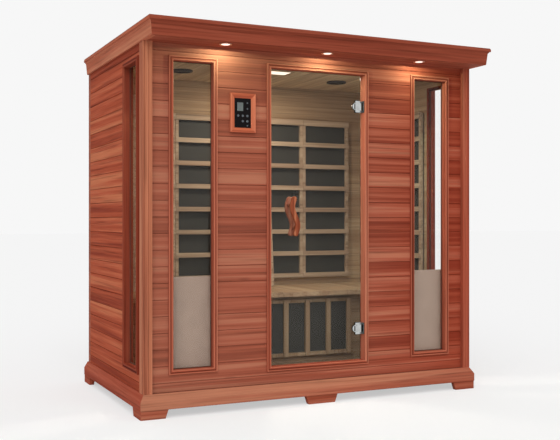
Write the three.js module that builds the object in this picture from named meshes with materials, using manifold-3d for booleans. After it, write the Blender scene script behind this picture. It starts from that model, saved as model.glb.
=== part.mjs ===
// Infrared sauna cabin for four: boarded cedar walls on a footed plinth, an overhanging crowned roof
// with three downlights, four tall windows, a glass door on two hinges and a slatted bench room inside.
// Millimetres, +Z up, the front faces -Y, the origin is the middle of the footprint on the floor.

import * as THREE from "three";
import { mergeVertices } from "three/addons/utils/BufferGeometryUtils.js";
import Module from "manifold-3d";

// Overall
const bodyWidth = 1896;
const bodyDepth = 1115;
const cabinHeight = 1900;
const wallThickness = 45;
const fitGap = 0.3;
const roundSides = 32;

// Wall boarding
const boardPitch = 80.6;
const lowestBoard = 43.6;
const grooveWidth = 5;
const grooveDepth = 3;

// Front corner posts
const postWidth = 45;
const postProudFront = 22;
const postProudSide = 7;
const fluteWidth = 4;
const fluteDepth = 3;
const cornerFlute = 4;
const innerFlute = 25;

// Plinth and feet
const footHeight = 43;
const plinthHeight = 75;
const plinthThickness = 29;
const plinthSlopeRun = 20;
const plinthSlopeDrop = 33;
const footSetback = 2;
const footTaper = 15;
const cornerFootLength = 141;
const middleFootWidth = 184;

// Roof
const crownHeight = 89;
const crownThickness = 21;
const crownFlare = 16;
const crownLean = 6;
const lipHeight = 23;
const lipRise = 14;
const sideReveal = 3;
const frontOverhang = 185;
const coverThickness = 6;
const soffitThickness = 12;
const soffitOnWall = 25;
const ceilingThickness = 18;
const backBoardThickness = 18;
const backBoardSetback = 10;

// Windows and the door frame
const headDrop = 80;
const frameFlange = 22;
const frameProud = 8;
const windowWidth = 208;
const windowInset = 88;
const windowSill = 105;
const sideWindowWidth = 223;
const sideWindowInset = 24;
const linerThickness = 10;
const glassRebate = 5;
const windowGlassThickness = 6;
const windowGlassDepth = 33;

// Door
const doorWidth = 554;
const doorSill = 84;
const doorGlassThickness = 8;
const doorGlassDepth = 23;
const doorEdgeGap = 4;
const doorHingeGap = 14;
const stopWidth = 12;
const stopGap = 1.5;

// Door hinges
const hingeInset = 165;
const hingeHeight = 62;
const hingeAxisInset = 12;
const leafThickness = 3;
const leafHalfWidth = 22;
const pinRadius = 3;
const knuckleRadius = 6;
const lugHeight = 11;
const lugHalfWidth = 6;
const clampReach = 36;
const clampStart = 9;
const clampPlate = 4;
const clampWeb = 4;
const noseRadius = 19;
const noseOverlap = 2;
const noseStep = 1;
const notchReach = 10.5;
const notchRoom = 2;

// Door handles
const handleHeight = 972;
const handleFromEdge = 129;
const handleLength = 181;
const handleSwing = 13;
const handleLean = 8;
const handleWidth = 25;
const handleThickness = 20;
const handleStandoff = 17;
const standoffRadius = 8;
const standoffSpan = 116;
const handleEase = 3;
const handleSteps = 16;
const handleEndSteps = 6;

// Control panel
const controlDrop = 320;
const controlWidth = 89;
const controlHeight = 148;
const controlThickness = 8;
const controlTrimWidth = 24;
const controlTrimBevel = 12;
const controlTrimProud = 14;
const keyRadius = 6;
const keyProud = 1.5;
const keyTravel = 0.8;
const keyPocket = 5;
const keyColumnPitch = 25;
const keyRowPitch = 27;
const keyTopDrop = 88;

// Heaters and their timber guards
const heaterThickness = 8;
const heaterMargin = 4;
const stileDepth = 18;
const stileWidth = 19;
const railThickness = 16;
const railProud = 8;
const railHeight = 28;
const topRailHeight = 36;
const railCount = 8;
const guardHeadroom = 208;
const guardAboveBench = 45;
const guardInset = 131;
const middleGuardWidth = 866;
const guardSeam = 2;
const sideGuardBackInset = 90;
const sideGuardFrontInset = 16;
const frontHeaterHeight = 496;
const frontHeaterRise = 58;
const frontHeaterThickness = 22;
const frontHeaterMargin = 20;

// Bench and backrest
const benchHeight = 420;
const benchDepth = 578;
const benchThickness = 29;
const benchFrontSetback = 77;
const benchFrontThickness = 18;
const benchSlatPitch = 139.8;
const benchSlatWidth = 29;
const benchSlatPairs = 4;
const benchRailHeight = 20;
const benchGuardRise = 38;
const benchGuardDrop = 21;
const backrestWidth = 390;
const backrestThickness = 20;
const backrestStile = 34;
const backrestSlatHeight = 46;
const backrestSlatCount = 6;
const backrestSlatInset = 8;
const backrestLean = 5;
const backrestTopRail = 4;

// Ceiling fittings and the supply
const lampWidth = 210;
const lampDepth = 130;
const lampThickness = 4;
const speakerRadius = 60;
const speakerLip = 10;
const speakerThickness = 8;
const speakerInset = 400;
const speakerFromBack = 349;
const downlightFlangeRadius = 31;
const downlightFlange = 3;
const downlightBodyRadius = 25;
const downlightBodyHeight = 45;
const downlightSpacing = 563;
const downlightFromFascia = 71;
const supplyWidth = 320;
const supplyDepth = 220;
const supplyHeight = 50;
const supplyOffset = 310;
const supplyFromBoard = 70;
const glandRadius = 12;
const glandFlangeRadius = 18;
const glandReach = 14;

// Colours of the finishes
const cedar = 0x9c4a36;
const cedarDark = 0x8a3f2e;
const paleWood = 0xb09070;
const heaterGrey = 0x3b3d3a;
const beigeBoard = 0xa29080;
const glassTint = 0x8f9a96;
const glassOpacity = 0.3;
const chrome = 0xc8cacb;
const blackPlastic = 0x141416;
const greyPlastic = 0x5a5c5e;
const lampWhite = 0xfff4e2;
const zincSteel = 0x9aa0a4;

// Planes that the pieces share
const sideX = bodyWidth / 2;
const backY = (bodyDepth + frontOverhang) / 2;
const frontY = backY - bodyDepth;
const innerX = sideX - wallThickness;
const innerFrontY = frontY + wallThickness;
const innerBackY = backY - wallThickness;
const plinthTop = footHeight + plinthHeight;
const soffitZ = cabinHeight - crownHeight;
const postSideX = sideX + postProudSide;
const postInnerX = postSideX - postWidth;
const postFrontY = frontY - postProudFront;
const plinthSideOut = postProudSide + plinthSlopeRun;
const plinthFrontOut = postProudFront + plinthSlopeRun;
const floorX = sideX + plinthSideOut - plinthThickness;
const crownSideOut = postProudSide + sideReveal + crownFlare;
const crownInset = crownFlare + crownThickness;
const roofInnerX = sideX + crownSideOut - crownInset;
const roofInnerFrontY = frontY - frontOverhang + crownInset;
const backBoardY = backY - backBoardSetback;
const coverZ = cabinHeight - coverThickness;
const frameHeadZ = soffitZ - headDrop;
const windowSillZ = plinthTop + windowSill;
const windowX = postInnerX - windowInset - frameFlange - windowWidth / 2;
const sideWindowY = innerFrontY + sideWindowInset + frameFlange + sideWindowWidth / 2;
const sideWindowBackY = sideWindowY + sideWindowWidth / 2 + frameFlange;
const doorSillZ = plinthTop + doorSill;
const doorX = doorWidth / 2;
const doorFrontY = frontY - frameProud + doorGlassDepth;
const doorBackY = doorFrontY + doorGlassThickness;
const doorMiddleY = (doorFrontY + doorBackY) / 2;
const doorTopZ = frameHeadZ - doorEdgeGap;
const doorBottomZ = doorSillZ + doorEdgeGap;
const hingeX = doorX - hingeAxisInset;
const hingeUpperZ = doorTopZ - hingeInset;
const hingeLowerZ = doorBottomZ + hingeInset;
const handleX = -doorX + doorEdgeGap + handleFromEdge;
const benchTopZ = plinthTop + benchHeight;
const benchFrontY = innerBackY - benchDepth;
const benchPanelY = benchFrontY + benchFrontSetback;
const guardTopZ = soffitZ - guardHeadroom;
const guardBottomZ = benchTopZ + guardAboveBench;
const guardEndX = innerX - guardInset;
const railFaceDepth = wallThickness + heaterThickness + stileDepth + railProud;
const ceilingMiddleY = (innerFrontY + innerBackY) / 2;
const controlX = -(windowX - windowWidth / 2 - frameFlange + doorX + frameFlange) / 2;
const controlZ = soffitZ - controlDrop;

const wasm = await Module();
wasm.setup();

// Solids and their joints

function toSolid(geometry) {
  const bare = geometry.clone();
  bare.deleteAttribute("normal");
  bare.deleteAttribute("uv");
  const merged = mergeVertices(bare);
  const vertProperties = merged.attributes.position.array;
  const triVerts = Uint32Array.from(merged.index.array);
  return new wasm.Manifold(new wasm.Mesh({ numProp: 3, vertProperties, triVerts }));
}

function toGeometry(body) {
  const mesh = body.getMesh();
  const geometry = new THREE.BufferGeometry();
  geometry.setAttribute("position", new THREE.BufferAttribute(mesh.vertProperties, 3));
  geometry.setIndex(new THREE.BufferAttribute(mesh.triVerts, 1));
  geometry.computeVertexNormals();
  return geometry;
}

function join(...pieces) {
  return toGeometry(pieces.map(toSolid).reduce((whole, piece) => whole.add(piece)));
}

function cut(piece, ...tools) {
  return toGeometry(tools.map(toSolid).reduce((rest, tool) => rest.subtract(tool), toSolid(piece)));
}

// A block between two values on each axis
function block(xs, ys, zs) {
  const geometry = new THREE.BoxGeometry(1, 1, 1);
  const place = geometry.attributes.position;
  for (let i = 0; i < place.count; i += 1) {
    const x = xs[place.getX(i) > 0 ? 1 : 0];
    const y = ys[place.getY(i) > 0 ? 1 : 0];
    const z = zs[place.getZ(i) > 0 ? 1 : 0];
    place.setXYZ(i, x, y, z);
  }
  return geometry;
}

// A four-sided block whose front and back rectangles differ, for a bevelled opening
function taper(front, back, ys) {
  const geometry = new THREE.BoxGeometry(1, 1, 1);
  const place = geometry.attributes.position;
  for (let i = 0; i < place.count; i += 1) {
    const behind = place.getY(i) > 0;
    const [xs, zs] = behind ? back : front;
    const x = xs[place.getX(i) > 0 ? 1 : 0];
    const z = zs[place.getZ(i) > 0 ? 1 : 0];
    place.setXYZ(i, x, ys[behind ? 1 : 0], z);
  }
  return geometry;
}

function around(middle, width) {
  return [middle - width / 2, middle + width / 2];
}

function grow([low, high], by) {
  return [low - by, high + by];
}

function upright(radius, [x, y], [low, high]) {
  const geometry = new THREE.CylinderGeometry(radius, radius, high - low, roundSides);
  return geometry.rotateX(Math.PI / 2).translate(x, y, (low + high) / 2);
}

function crosswise(radius, [x, z], [low, high]) {
  const geometry = new THREE.CylinderGeometry(radius, radius, high - low, roundSides);
  return geometry.translate(x, (low + high) / 2, z);
}

// The four outer wall faces: where each stands and which way is inwards
const faces = {
  front: { at: frontY, inward: 1, alongX: true },
  back: { at: backY, inward: -1, alongX: true },
  left: { at: -sideX, inward: 1, alongX: false },
  right: { at: sideX, inward: -1, alongX: false },
};

// A block on a wall: its run along the wall, its height and its depth behind the outer face
function slab(face, run, height, depths) {
  const { at, inward, alongX } = faces[face];
  const across = depths.map((depth) => at + inward * depth).sort((a, b) => a - b);
  return alongX ? block(run, across, height) : block(across, run, height);
}

// A moulding along a wall from a profile of [depth, height] points, each point with its own ends
function moulding(face, profile, start, end) {
  const shape = new THREE.Shape(profile.map(([depth, height]) => new THREE.Vector2(depth, height)));
  const geometry = new THREE.ExtrudeGeometry(shape, { depth: 1, bevelEnabled: false });
  const { at, inward, alongX } = faces[face];
  const turned = alongX ? inward < 0 : inward > 0;
  const place = geometry.attributes.position;
  for (let i = 0; i < place.count; i += 1) {
    const depth = place.getX(i);
    const height = place.getY(i);
    const far = place.getZ(i) > 0.5 !== turned;
    const run = far ? end(depth, height) : start(depth, height);
    const across = at + inward * depth;
    place.setXYZ(i, alongX ? run : across, alongX ? across : run, height);
  }
  return geometry;
}

const cabin = new THREE.Group();

function finish(color, roughness, metalness = 0) {
  return new THREE.MeshStandardMaterial({ color, roughness, metalness });
}

function glazing() {
  const material = finish(glassTint, 0.05);
  material.transparent = true;
  material.opacity = glassOpacity;
  return material;
}

function add(name, geometry, material, group = cabin) {
  const mesh = new THREE.Mesh(geometry, material);
  mesh.name = name;
  group.add(mesh);
  return mesh;
}

// Plinth boards with sawn feet, mitred at the front corners

function plinthFoot(face, out, start, end) {
  const lap = plinthSlopeDrop / 2;
  const [front, behind] = [footSetback - out, plinthThickness - out];
  const profile = [[front, 0], [front, footHeight + lap], [behind, footHeight + lap], [behind, 0]];
  return moulding(face, profile, start, end);
}

function footTaperAt(height) {
  return (footTaper * (footHeight - height)) / footHeight;
}

function plinthBoard(face, out, start, end) {
  const slopeZ = plinthTop - plinthSlopeDrop;
  const behind = plinthThickness - out;
  const profile = [
    [-out, footHeight],
    [-out, slopeZ],
    [plinthSlopeRun - out, plinthTop],
    [behind, plinthTop],
    [behind, footHeight],
  ];
  return moulding(face, profile, start, end);
}

function addPlinth() {
  const mitreX = (depth) => sideX - depth - plinthFrontOut + plinthSideOut - fitGap / 2;
  const mitreY = (depth) => frontY + depth + plinthSideOut - plinthFrontOut + fitGap / 2;
  const cornerX = sideX + plinthSideOut - cornerFootLength;
  const cornerY = frontY - plinthFrontOut + cornerFootLength;
  const middleStart = (depth, height) => footTaperAt(height) - middleFootWidth / 2;
  const middleEnd = (depth, height) => middleFootWidth / 2 - footTaperAt(height);
  const material = finish(cedar, 0.55);
  const front = join(
    plinthBoard("front", plinthFrontOut, (d) => -mitreX(d), mitreX),
    plinthFoot("front", plinthFrontOut, (d) => -mitreX(d), (d, z) => -cornerX - footTaperAt(z)),
    plinthFoot("front", plinthFrontOut, middleStart, middleEnd),
    plinthFoot("front", plinthFrontOut, (d, z) => cornerX + footTaperAt(z), mitreX),
  );
  add("plinth_front", front, material);
  for (const face of ["left", "right"]) {
    const rearY = backY - cornerFootLength;
    const side = join(
      plinthBoard(face, plinthSideOut, mitreY, () => backY),
      plinthFoot(face, plinthSideOut, mitreY, (d, z) => cornerY - footTaperAt(z)),
      plinthFoot(face, plinthSideOut, (d, z) => rearY + footTaperAt(z), () => backY),
    );
    add(`plinth_${face}`, side, material);
  }
  const back = join(
    slab("back", [-floorX, floorX], [footHeight, plinthTop], [0, plinthThickness]),
    plinthFoot("back", 0, () => -floorX, (d, z) => -cornerX - footTaperAt(z)),
    plinthFoot("back", 0, middleStart, middleEnd),
    plinthFoot("back", 0, (d, z) => cornerX + footTaperAt(z), () => floorX),
  );
  add("plinth_back", back, material);
  const floorDepths = [plinthThickness - plinthFrontOut, bodyDepth - plinthThickness];
  const floor = slab("front", [-floorX, floorX], [footHeight, plinthTop], floorDepths);
  add("floor_panel", floor, finish(paleWood, 0.6));
}

// Boarded wall panels with their cut-outs

function boardedWall(face, [start, end]) {
  const profile = [[wallThickness, plinthTop], [0, plinthTop]];
  for (let joint = plinthTop + lowestBoard; joint < soffitZ - grooveWidth; joint += boardPitch) {
    profile.push([0, joint - grooveWidth / 2]);
    profile.push([grooveDepth, joint]);
    profile.push([0, joint + grooveWidth / 2]);
  }
  profile.push([0, soffitZ], [wallThickness, soffitZ]);
  return moulding(face, profile, () => start, () => end);
}

function wallCutout(face, run, height) {
  const room = linerThickness + fitGap;
  return slab(face, grow(run, room), grow(height, room), [-wallThickness, 2 * wallThickness]);
}

const windowHeights = [windowSillZ, frameHeadZ];
const doorHeights = [doorSillZ, frameHeadZ];
const frontWindowRuns = { left: around(-windowX, windowWidth), right: around(windowX, windowWidth) };
const sideWindowRun = around(sideWindowY, sideWindowWidth);
const doorRun = [-doorX, doorX];

function addWalls() {
  const material = finish(cedar, 0.55);
  const front = cut(
    boardedWall("front", [-postInnerX, postInnerX]),
    wallCutout("front", doorRun, doorHeights),
    wallCutout("front", frontWindowRuns.left, windowHeights),
    wallCutout("front", frontWindowRuns.right, windowHeights),
  );
  add("front_wall", front, material);
  for (const face of ["left", "right"]) {
    const side = boardedWall(face, [innerFrontY, innerBackY]);
    add(`${face}_wall`, cut(side, wallCutout(face, sideWindowRun, windowHeights)), material);
  }
  add("back_wall", boardedWall("back", [-sideX, sideX]), material);
}

// Fluted corner posts

function addPosts() {
  const flutes = (edge) => [edge, edge + fluteWidth / 2, edge + fluteWidth];
  for (const [name, sign] of [["left", -1], ["right", 1]]) {
    const outline = [[postInnerX, innerFrontY], [postInnerX, postFrontY]];
    for (const edge of [innerFlute, cornerFlute]) {
      const [near, middle, far] = flutes(edge);
      outline.push([postSideX - far, postFrontY]);
      outline.push([postSideX - middle, postFrontY + fluteDepth]);
      outline.push([postSideX - near, postFrontY]);
    }
    outline.push([postSideX, postFrontY]);
    for (const edge of [cornerFlute, innerFlute]) {
      const [near, middle, far] = flutes(edge);
      outline.push([postSideX, postFrontY + near]);
      outline.push([postSideX - fluteDepth, postFrontY + middle]);
      outline.push([postSideX, postFrontY + far]);
    }
    outline.push([postSideX, innerFrontY]);
    const shape = new THREE.Shape(outline.map(([x, y]) => new THREE.Vector2(sign * x, y)));
    const post = new THREE.ExtrudeGeometry(shape, { depth: soffitZ - plinthTop, bevelEnabled: false });
    add(`corner_post_${name}`, post.translate(0, 0, plinthTop), finish(cedar, 0.5));
  }
}

// Window frames with their panes, and the door frame

function addWindow(name, face, run) {
  const glassBack = windowGlassDepth - frameProud + windowGlassThickness;
  const glassFront = windowGlassDepth - frameProud;
  const linerDepths = [-frameProud, wallThickness];
  const frame = cut(
    join(
      slab(face, grow(run, frameFlange), grow(windowHeights, frameFlange), [-frameProud, 0]),
      slab(face, grow(run, linerThickness), grow(windowHeights, linerThickness), linerDepths),
    ),
    slab(face, run, windowHeights, [-2 * frameProud, 2 * wallThickness]),
    slab(face, grow(run, glassRebate), grow(windowHeights, glassRebate), [glassFront, 2 * wallThickness]),
  );
  add(`window_frame_${name}`, frame, finish(cedar, 0.5));
  const paneEdge = glassRebate - fitGap;
  const pane = slab(face, grow(run, paneEdge), grow(windowHeights, paneEdge), [glassFront, glassBack]);
  add(`window_glass_${name}`, pane, glazing());
}

function addDoorFrame() {
  const stopFront = doorBackY - frontY + stopGap;
  const linerDepths = [-frameProud, wallThickness];
  const ring = cut(
    join(
      slab("front", grow(doorRun, frameFlange), grow(doorHeights, frameFlange), [-frameProud, 0]),
      slab("front", grow(doorRun, linerThickness), grow(doorHeights, linerThickness), linerDepths),
    ),
    slab("front", doorRun, doorHeights, [-2 * frameProud, 2 * wallThickness]),
  );
  const lap = linerThickness / 2;
  const stopRun = [-doorX - lap, stopWidth - doorX];
  const stop = slab("front", stopRun, grow(doorHeights, lap), [stopFront, wallThickness]);
  add("door_frame", join(ring, stop), finish(cedar, 0.5));
}

// Roof: ceiling, crown moulding with its front soffit, and the cover with its back board

function crownProfile(out) {
  const lipZ = coverZ - lipHeight;
  return [
    [crownFlare - out, soffitZ],
    [crownFlare - crownLean - out, lipZ],
    [0 - out, lipZ + lipRise],
    [0 - out, coverZ],
    [crownInset - out, coverZ],
    [crownInset - out, soffitZ],
  ];
}

const downlightY = frontY - frontOverhang + crownFlare + downlightFromFascia;
const downlights = { left: -downlightSpacing, middle: 0, right: downlightSpacing };

function addRoof() {
  const mitreX = (depth) => sideX + crownSideOut - frontOverhang - depth;
  const mitreY = (depth) => frontY - frontOverhang + crownSideOut + depth;
  const soffitDepths = [crownInset - frontOverhang - crownThickness / 2, soffitOnWall];
  const soffitHeights = [soffitZ, soffitZ + soffitThickness];
  const boards = join(
    moulding("front", crownProfile(frontOverhang), (d) => -mitreX(d), mitreX),
    moulding("left", crownProfile(crownSideOut), mitreY, () => backY),
    moulding("right", crownProfile(crownSideOut), mitreY, () => backY),
    slab("front", [-roofInnerX, roofInnerX], soffitHeights, soffitDepths),
  );
  const holes = Object.values(downlights).map((x) =>
    upright(downlightBodyRadius + fitGap, [x, downlightY], grow(soffitHeights, soffitThickness)),
  );
  add("crown_moulding", cut(boards, ...holes), finish(cedar, 0.5));
  const ceilingZ = [soffitZ, soffitZ + ceilingThickness];
  const boardFrontY = backBoardY - backBoardThickness;
  const ceiling = block([-roofInnerX, roofInnerX], [frontY + soffitOnWall, boardFrontY], ceilingZ);
  add("ceiling_panel", ceiling, finish(paleWood, 0.6));
  const coverX = sideX + crownSideOut;
  const lap = coverThickness / 2;
  const cover = cut(
    join(
      block([-coverX, coverX], [frontY - frontOverhang, backY], [coverZ, cabinHeight]),
      block([-roofInnerX, roofInnerX], [boardFrontY, backBoardY], [soffitZ, coverZ + lap]),
    ),
    crosswise(glandRadius + fitGap, [supplyOffset, glandZ], [boardFrontY - lap, backBoardY + lap]),
  );
  add("roof_cover", cover, finish(cedarDark, 0.6));
}

const glandZ = (soffitZ + ceilingThickness + coverZ) / 2;

function addRoofFittings() {
  for (const [name, x] of Object.entries(downlights)) {
    const lensZ = soffitZ - downlightFlange;
    const light = join(
      upright(downlightFlangeRadius, [x, downlightY], [lensZ, soffitZ]),
      upright(downlightBodyRadius, [x, downlightY], [lensZ, soffitZ + downlightBodyHeight]),
    );
    add(`downlight_${name}`, light, finish(lampWhite, 0.3, 0.2));
  }
  const lampRuns = [around(0, lampWidth), around(ceilingMiddleY, lampDepth)];
  add("ceiling_light", block(...lampRuns, [soffitZ - lampThickness, soffitZ]), finish(lampWhite, 0.4));
  for (const [name, sign] of [["left", -1], ["right", 1]]) {
    const place = [sign * (innerX - speakerInset), innerBackY - speakerFromBack];
    const rim = upright(speakerRadius, place, [soffitZ - speakerThickness, soffitZ]);
    const bowlZ = [soffitZ - 2 * speakerThickness, soffitZ - speakerThickness / 2];
    const bowl = upright(speakerRadius - speakerLip, place, bowlZ);
    add(`speaker_${name}`, cut(rim, bowl), finish(greyPlastic, 0.6));
  }
  const unitBackY = backBoardY - backBoardThickness - supplyFromBoard;
  const unitY = [unitBackY - supplyDepth, unitBackY];
  const unitZ = soffitZ + ceilingThickness;
  const unit = block(around(supplyOffset, supplyWidth), unitY, [unitZ, unitZ + supplyHeight]);
  add("power_unit", unit, finish(zincSteel, 0.4, 0.8));
  const glandFront = backBoardY - backBoardThickness - glandReach;
  const gland = join(
    crosswise(glandRadius, [supplyOffset, glandZ], [glandFront, backY]),
    crosswise(glandFlangeRadius, [supplyOffset, glandZ], [backBoardY, backY]),
  );
  add("mains_gland", gland, finish(blackPlastic, 0.5));
}

// Heater plates and the slatted guards in front of them

function guardRails(face, run, floorDepth) {
  const stileDepths = [floorDepth, floorDepth + stileDepth];
  const railFront = floorDepth + stileDepth + railProud;
  const railDepths = [railFront - railThickness, railFront];
  const heights = [guardBottomZ, guardTopZ];
  const pieces = [
    slab(face, [run[0], run[0] + stileWidth], heights, stileDepths),
    slab(face, [run[1] - stileWidth, run[1]], heights, stileDepths),
  ];
  const lowest = guardBottomZ + railHeight / 2;
  const highest = guardTopZ - topRailHeight / 2;
  for (let i = 0; i < railCount; i += 1) {
    const top = i === railCount - 1;
    const middle = lowest + ((highest - lowest) * i) / (railCount - 1);
    pieces.push(slab(face, run, around(middle, top ? topRailHeight : railHeight), railDepths));
  }
  return join(...pieces);
}

function addGuards() {
  const timber = finish(paleWood, 0.6);
  const carbon = finish(heaterGrey, 0.7);
  const heaterDepths = [wallThickness, wallThickness + heaterThickness];
  const heaterZ = grow([guardBottomZ, guardTopZ], -heaterMargin);
  const onHeater = wallThickness + heaterThickness;
  const middleEnd = middleGuardWidth / 2;
  const runs = {
    left: [-guardEndX, -middleEnd - guardSeam],
    middle: [-middleEnd, middleEnd],
    right: [middleEnd + guardSeam, guardEndX],
  };
  const backRun = grow([-guardEndX, guardEndX], -heaterMargin);
  add("back_heater", slab("back", backRun, heaterZ, heaterDepths), carbon);
  for (const [name, run] of Object.entries(runs)) {
    add(`back_guard_${name}`, guardRails("back", run, onHeater), timber);
  }
  const sideRun = [sideWindowBackY + sideGuardFrontInset, innerBackY - sideGuardBackInset];
  for (const face of ["left", "right"]) {
    add(`side_heater_${face}`, slab(face, grow(sideRun, -heaterMargin), heaterZ, heaterDepths), carbon);
    add(`side_guard_${face}`, guardRails(face, sideRun, onHeater), timber);
  }
  const frontZ = [plinthTop + frontHeaterRise, plinthTop + frontHeaterRise + frontHeaterHeight];
  const frontDepths = [wallThickness, wallThickness + frontHeaterThickness];
  for (const [name, run] of Object.entries(frontWindowRuns)) {
    const panel = slab("front", grow(run, frontHeaterMargin), frontZ, frontDepths);
    add(`front_heater_${name}`, panel, finish(beigeBoard, 0.7));
  }
}

// Bench with its heated front, and the loose backrest that leans on the middle guard

function addBench() {
  const timber = finish(paleWood, 0.6);
  const undersideZ = benchTopZ - benchThickness;
  const full = [-innerX, innerX];
  add("bench_top", block(full, [benchFrontY, innerBackY], [undersideZ, benchTopZ]), timber);
  const panelBackY = benchPanelY + benchFrontThickness;
  add("bench_front", block(full, [benchPanelY, panelBackY], [plinthTop, undersideZ]), timber);
  const slatEnd = benchSlatPitch * (benchSlatPairs - 0.5) + benchSlatWidth / 2;
  const guardRun = [-slatEnd, slatEnd];
  const guardZ = [plinthTop + benchGuardRise, undersideZ - benchGuardDrop];
  const heaterY = [benchPanelY - heaterThickness, benchPanelY];
  const heater = block(grow(guardRun, -heaterMargin), heaterY, grow(guardZ, -heaterMargin));
  add("bench_heater", heater, finish(heaterGrey, 0.7));
  const railY = [heaterY[0] - stileDepth, heaterY[0]];
  const slatY = [railY[0] - railProud, railY[0] - railProud + railThickness];
  const pieces = [
    block(guardRun, railY, [guardZ[0], guardZ[0] + benchRailHeight]),
    block(guardRun, railY, [guardZ[1] - benchRailHeight, guardZ[1]]),
  ];
  for (let i = 0; i < 2 * benchSlatPairs; i += 1) {
    const middle = benchSlatPitch * (i - benchSlatPairs + 0.5);
    pieces.push(block(around(middle, benchSlatWidth), slatY, guardZ));
  }
  add("bench_guard", join(...pieces), timber);
}

function addBackrest() {
  const lean = THREE.MathUtils.degToRad(backrestLean);
  const railPitch = (guardTopZ - topRailHeight / 2 - guardBottomZ - railHeight / 2) / (railCount - 1);
  const topZ = guardBottomZ + railHeight + railPitch * (backrestTopRail - 1) - railHeight / 4;
  const height = (topZ - benchTopZ - fitGap) / Math.cos(lean);
  const half = backrestWidth / 2;
  const stileBack = -fitGap;
  const stileFront = stileBack - backrestThickness;
  const pieces = [
    block([-half, backrestStile - half], [stileFront, stileBack], [0, height]),
    block([half - backrestStile, half], [stileFront, stileBack], [0, height]),
  ];
  const slatPitch = (height - backrestSlatHeight) / (backrestSlatCount - 1);
  const slatLap = backrestThickness / 2;
  const slatRun = grow([-half, half], -backrestSlatInset);
  for (let i = 0; i < backrestSlatCount; i += 1) {
    const low = slatPitch * i;
    const slatY = [stileFront - slatLap, stileFront + slatLap];
    pieces.push(block(slatRun, slatY, [low, low + backrestSlatHeight]));
  }
  const group = new THREE.Group();
  group.rotation.x = -lean;
  group.position.set(0, backY - railFaceDepth - height * Math.sin(lean), benchTopZ + fitGap);
  add("backrest", join(...pieces), finish(paleWood, 0.6), group);
  cabin.add(group);
}

// Glass door with its hinges and the pair of handles

function addDoor() {
  const right = doorX - doorHingeGap;
  const left = -doorX + doorEdgeGap;
  const notchX = hingeX - notchReach;
  const notchHalf = hingeHeight / 2 + notchRoom;
  const outline = [[left, doorBottomZ], [right, doorBottomZ]];
  for (const z of [hingeLowerZ, hingeUpperZ]) {
    const [low, high] = [z - notchHalf, z + notchHalf];
    outline.push([right, low], [notchX, low], [notchX, high], [right, high]);
  }
  outline.push([right, doorTopZ], [left, doorTopZ]);
  const shape = new THREE.Shape(outline.map(([x, z]) => new THREE.Vector2(x, z)));
  const pane = new THREE.ExtrudeGeometry(shape, { depth: doorGlassThickness, bevelEnabled: false });
  add("door_glass", pane.rotateX(Math.PI / 2).translate(0, doorBackY, 0), glazing());
  addHinge("upper", hingeUpperZ);
  addHinge("lower", hingeLowerZ);
  addHandle("outer", doorFrontY, -1);
  addHandle("inner", doorBackY, 1);
}

function addHinge(name, middleZ) {
  const metal = finish(chrome, 0.12, 1);
  const half = hingeHeight / 2;
  const knuckleHalf = half - lugHeight - fitGap;
  const fullZ = [middleZ - half, middleZ + half];
  const knuckleZ = [middleZ - knuckleHalf, middleZ + knuckleHalf];
  const axis = [hingeX, doorMiddleY];
  const plateInside = doorGlassThickness / 2 + fitGap;
  const plateYs = [
    [doorMiddleY - plateInside - clampPlate, doorMiddleY - plateInside],
    [doorMiddleY + plateInside, doorMiddleY + plateInside + clampPlate],
  ];
  const webX = [hingeX - notchReach + fitGap, hingeX - clampWeb];
  const pieces = [
    block(webX, [plateYs[0][0], plateYs[1][1]], knuckleZ),
    upright(knuckleRadius, axis, knuckleZ),
  ];
  const nose = [hingeX - clampReach + noseOverlap, middleZ];
  for (const ys of plateYs) {
    const noseYs = [Math.max(ys[0], plateYs[0][0] + noseStep), Math.min(ys[1], plateYs[1][1] - noseStep)];
    pieces.push(crosswise(noseRadius, nose, noseYs));
    pieces.push(block([hingeX - clampReach, hingeX - clampStart], ys, fullZ));
    pieces.push(block([hingeX - clampStart - clampPlate, hingeX - clampWeb], ys, knuckleZ));
  }
  const bore = upright(pinRadius + fitGap, axis, grow(knuckleZ, lugHeight));
  add(`hinge_clamp_${name}`, cut(join(...pieces), bore), metal);
  const leafYs = [doorMiddleY - leafHalfWidth, doorMiddleY + leafHalfWidth];
  const leaf = [
    block([doorX - leafThickness, doorX], leafYs, fullZ),
    upright(pinRadius, axis, fullZ),
  ];
  for (const zs of [[fullZ[0], fullZ[0] + lugHeight], [fullZ[1] - lugHeight, fullZ[1]]]) {
    const lugYs = [doorMiddleY - lugHalfWidth, doorMiddleY + lugHalfWidth];
    leaf.push(block([hingeX, doorX - leafThickness / 2], lugYs, zs));
    leaf.push(upright(lugHalfWidth, axis, zs));
  }
  add(`hinge_leaf_${name}`, join(...leaf), metal);
}

// An S sawn from a board: one sine wave down its leaning length, with round ends
const handleWave = (2 * Math.PI) / handleLength;

function handleMiddle(z) {
  return -handleSwing * Math.sin(handleWave * (handleLength / 2 - z)) - (handleLean * z) / handleLength;
}

function handleSlope(z) {
  return handleSwing * handleWave * Math.cos(handleWave * (handleLength / 2 - z)) - handleLean / handleLength;
}

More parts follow.
